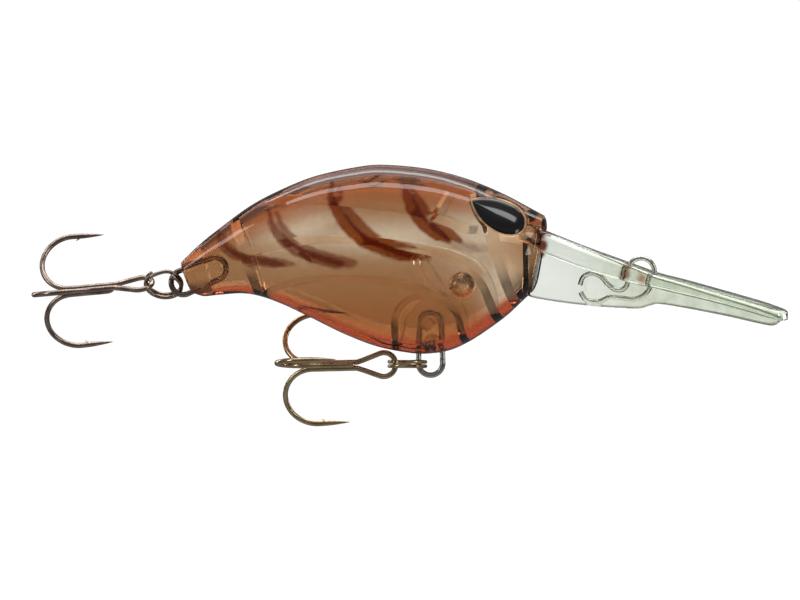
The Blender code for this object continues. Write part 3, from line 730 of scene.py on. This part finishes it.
def tint_shell(obj):
    """Stores the paint, with its painted sheen, painted reflection and painted shading, on the outer skin as a colour
    of each corner; inner faces and the seam stay clear.
    """
    tree_points = []
    for u, ring in outer_rings(91, 150):
        for i, point in enumerate(ring):
            tree_points.append((point, u, i / 90))
    tree = kdtree.KDTree(len(tree_points))
    for i, (point, _, _) in enumerate(tree_points):
        tree.insert(point, i)
    tree.balance()
    bars = prepared(BARS)
    marks = prepared(BACK_MARKS)
    mesh = obj.data
    values = np.ones(len(mesh.vertices) * 4, np.float32)
    values[3::4] = 0
    for k, vertex in enumerate(mesh.vertices):
        place = vertex.co / MM
        place.y = abs(place.y)
        _, index, off = tree.find(place)
        if off > 0.5:
            continue
        _, u, v = tree_points[index]
        back, belly, _ = body_section(u)
        tall = (back - belly).length
        drop = (1 - math.cos(v * math.pi)) / 2 * tall
        rise = tall - drop
        speck = noise.noise(place * 0.55) * 0.5 + noise.noise(place * 2.3) * 0.25
        shrink = min(1.0, tall / 22)
        sheen = 0.0
        for (px, pz), (wide, high) in SHEEN_PATCHES:
            sheen = max(sheen, math.exp(-((place.x - px) / wide) ** 2 - ((place.z - pz) / high) ** 2))
        # Painted shading: lighter tan higher up, darker amber lower down, as if lit from above.
        colour = mix(TAN, AMBER, ramp_between(1, -9, place.z + speck))
        # Painted sheen: cream patches where soft light lies on the flank.
        colour = mix(colour, SHEEN_CREAM, sheen * 0.9)
        drop = (drop + speck * 0.7) / shrink
        orange = 0.6 * (1 - ramp_between(5.0, 8.0, drop)) + 0.4 * (1 - ramp_between(2.0, 5.0, drop))
        colour = mix(colour, ORANGE, orange)
        # Painted reflection: smoky grey along the top edge of the back, where the overhead light reflects.
        colour = mix(colour, REFLECTION_GREY, 1 - ramp_between(0.9, 2.2, drop))
        colour = mix(colour, RUST, 1 - ramp_between(0.9, 3.4, (rise + speck * 0.15) / shrink))
        colour = mix(colour, BAR_BROWN, stroke_share(bars, place.x, place.z, 0.24))
        colour = mix(colour, MARK_BLACK, stroke_share(marks, place.x, place.z, 0.15))
        values[k * 4:k * 4 + 4] = (*colour, 1)
    corners = np.empty(len(mesh.loops), np.int32)
    mesh.loops.foreach_get("vertex_index", corners)
    values = values.reshape(-1, 4)[corners]
    for face in mesh.polygons:
        if abs(face.center.y) < 0.06 * MM and abs(face.normal.y) > 0.9:
            values[face.loop_start:face.loop_start + face.loop_total] = (1, 1, 1, 0)
    layer = mesh.attributes.new("tint", "FLOAT_COLOR", "CORNER")
    layer.data.foreach_set("color", values.ravel())


def material(name):
    made = bpy.data.materials.new(name)
    made.use_nodes = True
    tree = made.node_tree
    return made, tree, tree.nodes["Principled BSDF"]


def add_noise(tree, scale, detail):
    node = tree.nodes.new("ShaderNodeTexNoise")
    node.inputs["Scale"].default_value = scale
    node.inputs["Detail"].default_value = detail
    place = tree.nodes.new("ShaderNodeTexCoord")
    tree.links.new(place.outputs["Object"], node.inputs["Vector"])
    return node.outputs["Fac"]


def add_range(tree, source, low, high, start=0.0, end=1.0):
    node = tree.nodes.new("ShaderNodeMapRange")
    node.inputs["From Min"].default_value = start
    node.inputs["From Max"].default_value = end
    node.inputs["To Min"].default_value = low
    node.inputs["To Max"].default_value = high
    tree.links.new(source, node.inputs["Value"])
    return node.outputs["Result"]


def add_bump(tree, source, strength, distance, shader):
    node = tree.nodes.new("ShaderNodeBump")
    node.inputs["Strength"].default_value = strength
    node.inputs["Distance"].default_value = distance
    tree.links.new(source, node.inputs["Height"])
    tree.links.new(node.outputs["Normal"], shader.inputs["Normal"])


def add_mix(tree, share, first, second, blend="MIX"):
    node = tree.nodes.new("ShaderNodeMix")
    node.data_type = "RGBA"
    node.blend_type = blend
    for source, socket in ((share, node.inputs["Factor"]), (first, node.inputs["A"]), (second, node.inputs["B"])):
        if isinstance(source, (int, float, tuple)):
            socket.default_value = source
        else:
            tree.links.new(source, socket)
    return node.outputs["Result"]


def add_max(tree, first, second):
    node = tree.nodes.new("ShaderNodeMath")
    node.operation = "MAXIMUM"
    tree.links.new(first, node.inputs[0])
    tree.links.new(second, node.inputs[1])
    return node.outputs["Value"]


def add_spot(tree, x, z, reach):
    """1 at a place in the X-Z plane, fading to 0 at reach, in millimetres."""
    place = tree.nodes.new("ShaderNodeTexCoord")
    parts = tree.nodes.new("ShaderNodeSeparateXYZ")
    tree.links.new(place.outputs["Object"], parts.inputs["Vector"])
    flat = tree.nodes.new("ShaderNodeCombineXYZ")
    tree.links.new(parts.outputs["X"], flat.inputs["X"])
    tree.links.new(parts.outputs["Z"], flat.inputs["Z"])
    away = tree.nodes.new("ShaderNodeVectorMath")
    away.operation = "DISTANCE"
    tree.links.new(flat.outputs["Vector"], away.inputs[0])
    away.inputs[1].default_value = (x * MM, 0, z * MM)
    return add_range(tree, away.outputs["Value"], 1, 0, reach * 0.5 * MM, reach * MM)


def absorb(tree, colour, density):
    node = tree.nodes.new("ShaderNodeVolumeAbsorption")
    node.inputs["Color"].default_value = (*colour, 1)
    node.inputs["Density"].default_value = density
    output = tree.nodes["Material Output"]
    tree.links.new(node.outputs["Volume"], output.inputs["Volume"])


def shell_material():
    made, tree, shader = material("amber_plastic_clear")
    tint = tree.nodes.new("ShaderNodeAttribute")
    tint.attribute_name = "tint"
    fleck = add_range(tree, add_noise(tree, 900, 3), 0.94, 1.0, 0.35, 0.65)
    colour = add_mix(tree, 1.0, tint.outputs["Color"], fleck, "MULTIPLY")
    tree.links.new(colour, shader.inputs["Base Color"])
    shader.inputs["Transmission Weight"].default_value = 1.0
    shader.inputs["IOR"].default_value = 1.43
    smear = add_range(tree, add_noise(tree, 260, 4), 0.01, 0.05, 0.4, 0.7)
    satin = add_range(tree, tint.outputs["Alpha"], 0.035, 0.0)
    tree.links.new(add_max(tree, smear, satin), shader.inputs["Roughness"])
    add_bump(tree, add_noise(tree, 160, 2), 0.05, 0.0002, shader)
    absorb(tree, (0.97, 0.72, 0.45), 32)
    return made


def lip_material():
    made, tree, shader = material("lip_plastic_clear")
    cloud = add_range(tree, add_noise(tree, 70, 4), 0, 1, 0.35, 0.65)
    colour = add_mix(tree, cloud, (0.7, 0.73, 0.67, 1), (0.86, 0.88, 0.84, 1))
    grain = add_range(tree, add_noise(tree, 500, 5), 0, 0.8, 0.4, 0.7)
    blade = add_mix(tree, grain, (0.7, 0.74, 0.64, 1), (0.46, 0.5, 0.38, 1))
    colour = add_mix(tree, add_spot(tree, 13, -4, 26), colour, blade)
    for x, z, reach, stain in LIP_STAINS:
        colour = add_mix(tree, add_spot(tree, x, z, reach), colour, (*stain, 1))
    tree.links.new(colour, shader.inputs["Base Color"])
    shader.inputs["Transmission Weight"].default_value = 1.0
    shader.inputs["IOR"].default_value = 1.46
    tree.links.new(add_range(tree, add_noise(tree, 240, 5), 0.0, 0.05, 0.4, 0.75), shader.inputs["Roughness"])
    add_bump(tree, add_noise(tree, 120, 3), 0.06, 0.0003, shader)
    absorb(tree, (0.82, 0.86, 0.79), 60)
    return made


def metal_material(name, low, high, rough):
    made, tree, shader = material(name)
    cloud = add_range(tree, add_noise(tree, 420, 4), 0, 1, 0.3, 0.7)
    colour = add_mix(tree, cloud, (*low, 1), (*high, 1))
    tree.links.new(colour, shader.inputs["Base Color"])
    shader.inputs["Metallic"].default_value = 1.0
    tree.links.new(add_range(tree, add_noise(tree, 1500, 3), *rough, 0.3, 0.7), shader.inputs["Roughness"])
    add_bump(tree, add_noise(tree, 1400, 2), 0.04, 0.00005, shader)
    return made


def iris_material():
    made, tree, shader = material("iris_foil_amber")
    spread = add_range(tree, add_noise(tree, 700, 4), 0, 1, 0.3, 0.7)
    colour = add_mix(tree, spread, (0.16, 0.07, 0.03, 1), (0.5, 0.3, 0.13, 1))
    tree.links.new(colour, shader.inputs["Base Color"])
    shader.inputs["Metallic"].default_value = 0.4
    tree.links.new(add_range(tree, spread, 0.25, 0.4), shader.inputs["Roughness"])
    return made


def pupil_material():
    made, tree, shader = material("pupil_gloss_black")
    colour = add_mix(tree, add_noise(tree, 500, 3), (0.001, 0.001, 0.001, 1), (0.004, 0.0035, 0.004, 1))
    tree.links.new(colour, shader.inputs["Base Color"])
    tree.links.new(add_range(tree, add_noise(tree, 300, 3), 0.05, 0.09, 0.3, 0.7), shader.inputs["Roughness"])
    return made


def put(obj, made, body, nodes, angle=40):
    """Finishes a piece, and makes it stand for its CAD nodes."""
    obj.data.materials.clear()
    obj.data.materials.append(made)
    obj.data.polygons.foreach_set("material_index", [0] * len(obj.data.polygons))
    shade(obj, angle)
    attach(obj, body)
    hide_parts(*nodes)


shell_look = shell_material()
lip_look = lip_material()
steel_look = metal_material("steel_wire_bright", (0.5, 0.5, 0.46), (0.62, 0.61, 0.57), (0.14, 0.26))
bronze_look = metal_material("bronzed_hook_steel", (0.42, 0.31, 0.17), (0.66, 0.53, 0.33), (0.16, 0.27))
nickel_look = metal_material("black_nickel_steel", (0.2, 0.15, 0.13), (0.5, 0.38, 0.31), (0.16, 0.27))
weight_look = metal_material("polished_weight_steel", (0.82, 0.78, 0.68), (0.95, 0.92, 0.84), (0.2, 0.34))
iris_look = iris_material()
pupil_look = pupil_material()

left_shell = body_half()
for space in (main_hollow(), tail_hollow()):
    boolean(left_shell, space, "DIFFERENCE")
socket_cut(left_shell)
boolean(left_shell, lens_prism("socket", IRIS_RIM + 0.1, -LENS_SINK - 0.1, 6.0), "DIFFERENCE")
boolean(left_shell, lens_prism("ledge", IRIS_RIM + 1.0, -0.28, 6.0), "DIFFERENCE")
tint_shell(left_shell)
right_shell = mirror_copy(left_shell, "right_shell")
put(left_shell, shell_look, "lure_body", ["left_body_shell"], 32)
put(right_shell, shell_look, "lure_body", ["right_body_shell"], 32)

lip = lip_mesh()
put(lip, lip_look, "lure_body", ["diving_lip"], 32)

tie_line = [(x, 0, z) for x, z in smooth_path(TIE_PATH, 6)]
tie = tube("tie_wire", tie_line, [TIE_WIRE] * len(tie_line), 18)
put(tie, steel_look, "lure_body", ["line_tie_wire"], 60)
belly_loop = belt(BELLY_EYE, EYE_RADIUS, BELLY_ANCHOR, ANCHOR_RADIUS, 0.8, 48)
tail_loop = belt(TAIL_EYE, EYE_RADIUS, TAIL_ANCHOR, ANCHOR_RADIUS, 0.8, 48)
belly_hanger = tube("belly_hanger", belly_loop, [HANGER_WIRE] * len(belly_loop), 18)
put(belly_hanger, steel_look, "lure_body", ["belly_hanger_wire"], 60)
tail_hanger = tube("tail_hanger", tail_loop, [HANGER_WIRE] * len(tail_loop), 18)
put(tail_hanger, nickel_look, "lure_body", ["tail_hanger_wire"], 60)

left_iris = lens_dome("left_iris", IRIS_RIM, -LENS_SINK, 0.25)
right_iris = mirror_copy(left_iris, "right_iris")
left_pupil = lens_dome("left_pupil", 0.22, IRIS_THICKNESS - LENS_SINK, LENS_BULGE)
right_pupil = mirror_copy(left_pupil, "right_pupil")
put(left_iris, iris_look, "lure_body", ["left_eye_iris"])
put(right_iris, iris_look, "lure_body", ["right_eye_iris"])
put(left_pupil, pupil_look, "lure_body", ["left_eye_dome"])
put(right_pupil, pupil_look, "lure_body", ["right_eye_dome"])

belly_ring = split_ring("belly_ring_coil", BELLY_RING, BELLY_RING_TILT)
put(belly_ring, bronze_look, "belly_ring", ["belly_split_ring"], 60)
tail_ring = split_ring("tail_ring_coil", TAIL_RING, TAIL_RING_TILT)
put(tail_ring, nickel_look, "tail_ring", ["tail_split_ring"], 60)
for prefix, centre, slope, roll, look, slot in (
    ("belly_treble", BELLY_TREBLE, BELLY_TREBLE_SLOPE, BELLY_TREBLE_ROLL, bronze_look, "bronze_hook"),
    ("tail_treble", TAIL_TREBLE, TAIL_TREBLE_SLOPE, TAIL_TREBLE_ROLL, nickel_look, "black_nickel"),
):
    hooks = treble(prefix + "_fine", centre, slope, roll)
    for hook, node in zip(hooks, ("_double_hook", "_single_hook")):
        put(hook, look, prefix, [prefix + node], 50)


def fine_ball(name, centre, radius):
    mesh = bpy.data.meshes.new(name)
    bm = bmesh.new()
    bmesh.ops.create_icosphere(bm, subdivisions=5, radius=radius * MM)
    bm.to_mesh(mesh)
    bm.free()
    mesh.transform(Matrix.Translation(Vector(centre) * MM))
    obj = bpy.data.objects.new(name, mesh)
    bpy.context.scene.collection.objects.link(obj)
    return obj


rest_x = TRACK_CENTRE[0] + TRACK_RADIUS * math.sin(WEIGHT_REST)
rest_z = TRACK_CENTRE[1] + TRACK_RADIUS * math.cos(WEIGHT_REST)
weight = fine_ball("rolling_weight", (rest_x, 0, rest_z), WEIGHT_RADIUS)
put(weight, weight_look, "transfer_weight", ["transfer_weight_ball"], 60)
ballast = disc("ballast_pin", BALLAST_PLACE, BALLAST_RADIUS, -BALLAST_LENGTH / 2, BALLAST_LENGTH / 2, 40)
put(ballast, weight_look, "lure_body", ["belly_ballast_pin"], 40)


# Stage: floor, light and camera.
# Brightness of the room by height, 0 straight down and 1 straight up: seen through the lure, and reflected.
SEEN_SKY = [(0.0, 0.2), (1.0, 0.7), (0.36, 0.35), (0.45, 0.95), (0.58, 1.0), (0.7, 0.3), (0.85, 0.4)]
MIRRORED_SKY = [(0.0, 0.3), (1.0, 0.5), (0.3, 0.18), (0.44, 0.07), (0.58, 0.07), (0.72, 0.3), (0.85, 0.2)]
VIEW_TURN = math.radians(7.5)
VIEW_RISE = math.radians(1.0)
VIEW_DISTANCE = 0.9
VIEW_WIDTH = 0.1401
TARGET = Vector((-42.3, 0, -5.0)) * MM


def floor_mesh():
    mesh = bpy.data.meshes.new("studio_floor")
    bm = bmesh.new()
    bmesh.ops.create_circle(bm, cap_ends=True, segments=96, radius=0.7)
    bm.to_mesh(mesh)
    bm.free()
    obj = bpy.data.objects.new("studio_floor", mesh)
    obj.location = (0, 0, -0.06)
    obj.visible_glossy = False
    bpy.context.scene.collection.objects.link(obj)
    made, tree, shader = material("studio_floor_paper")
    colour = add_mix(tree, add_noise(tree, 4, 2), (0.93, 0.93, 0.93, 1), (0.96, 0.96, 0.96, 1))
    tree.links.new(colour, shader.inputs["Base Color"])
    shader.inputs["Roughness"].default_value = 0.9
    mesh.materials.append(made)


def studio_light(name, place, target, size, power, size_y=None):
    lamp = bpy.data.lights.new(name, "AREA")
    lamp.shape = "RECTANGLE"
    lamp.size = size
    lamp.size_y = size_y or size
    lamp.energy = power
    obj = bpy.data.objects.new(name, lamp)
    obj.location = place
    obj.rotation_euler = (Vector(target) - Vector(place)).to_track_quat("-Z", "Y").to_euler()
    bpy.context.scene.collection.objects.link(obj)
    obj.visible_camera = False
    return obj


def world_light():
    """White where the camera looks or sees through the lure, and a dark room with a bright top in reflections."""
    world = bpy.data.worlds.new("studio_world")
    bpy.context.scene.world = world
    world.use_nodes = True
    tree = world.node_tree
    tree.nodes.clear()
    output = tree.nodes.new("ShaderNodeOutputWorld")
    place = tree.nodes.new("ShaderNodeTexCoord")
    parts = tree.nodes.new("ShaderNodeSeparateXYZ")
    tree.links.new(place.outputs["Generated"], parts.inputs["Vector"])
    level = add_range(tree, parts.outputs["Z"], 0, 1, -1, 1)
    sides = []
    for steps in (SEEN_SKY, MIRRORED_SKY):
        ramp = tree.nodes.new("ShaderNodeValToRGB")
        tree.links.new(level, ramp.inputs["Fac"])
        for index, (at, value) in enumerate(steps):
            if index < 2:
                element = ramp.color_ramp.elements[index]
                element.position = at
            else:
                element = ramp.color_ramp.elements.new(at)
            element.color = (value, value, value, 1)
        sides.append(ramp.outputs["Color"])
    path = tree.nodes.new("ShaderNodeLightPath")
    straight = add_max(tree, path.outputs["Is Camera Ray"], path.outputs["Is Diffuse Ray"])
    through = path.outputs["Is Transmission Ray"]
    inside = add_range(tree, path.outputs["Transmission Depth"], 0, 1)
    colour = add_mix(tree, add_max(tree, through, inside), sides[1], sides[0])
    colour = add_mix(tree, straight, colour, (1.0, 1.0, 1.0, 1.0))
    plain = tree.nodes.new("ShaderNodeBackground")
    tree.links.new(colour, plain.inputs["Color"])
    plain.inputs["Strength"].default_value = 1.05
    tree.links.new(plain.outputs["Background"], output.inputs["Surface"])


def add_camera():
    lens = bpy.data.cameras.new("view_camera")
    lens.sensor_width = 36
    lens.lens = 36 * VIEW_DISTANCE / VIEW_WIDTH
    lens.clip_start = 0.01
    lens.clip_end = 50
    camera = bpy.data.objects.new("view_camera", lens)
    away = Vector((math.sin(VIEW_TURN) * math.cos(VIEW_RISE), -math.cos(VIEW_TURN) * math.cos(VIEW_RISE),
                   math.sin(VIEW_RISE)))
    camera.location = TARGET + away * VIEW_DISTANCE
    camera.rotation_euler = (-away).to_track_quat("-Z", "Y").to_euler()
    bpy.context.scene.collection.objects.link(camera)
    bpy.context.scene.camera = camera


floor_mesh()
world_light()
studio_light("overhead_softbox", (-0.04, 0.22, 0.7), (-0.04, 0, 0), 0.8, 1.3, 0.36)
studio_light("front_strip", (-0.04, -0.22, 0.64), (-0.04, 0, 0), 1.0, 1.7, 0.1)
studio_light("back_strip", (-0.04, 0.22, 0.64), (-0.04, 0, 0), 1.0, 1.7, 0.1)
for name, turn in (("left_strip", -62), ("right_strip", 58), ("far_left_strip", -122), ("far_right_strip", 118)):
    way = Vector((math.sin(math.radians(turn)), -math.cos(math.radians(turn)), 0.22))
    studio_light(name, way * 0.7, (-0.04, 0, 0), 0.09, 0.7, 0.5)
add_camera()
bpy.context.scene.view_settings.view_transform = "Standard"
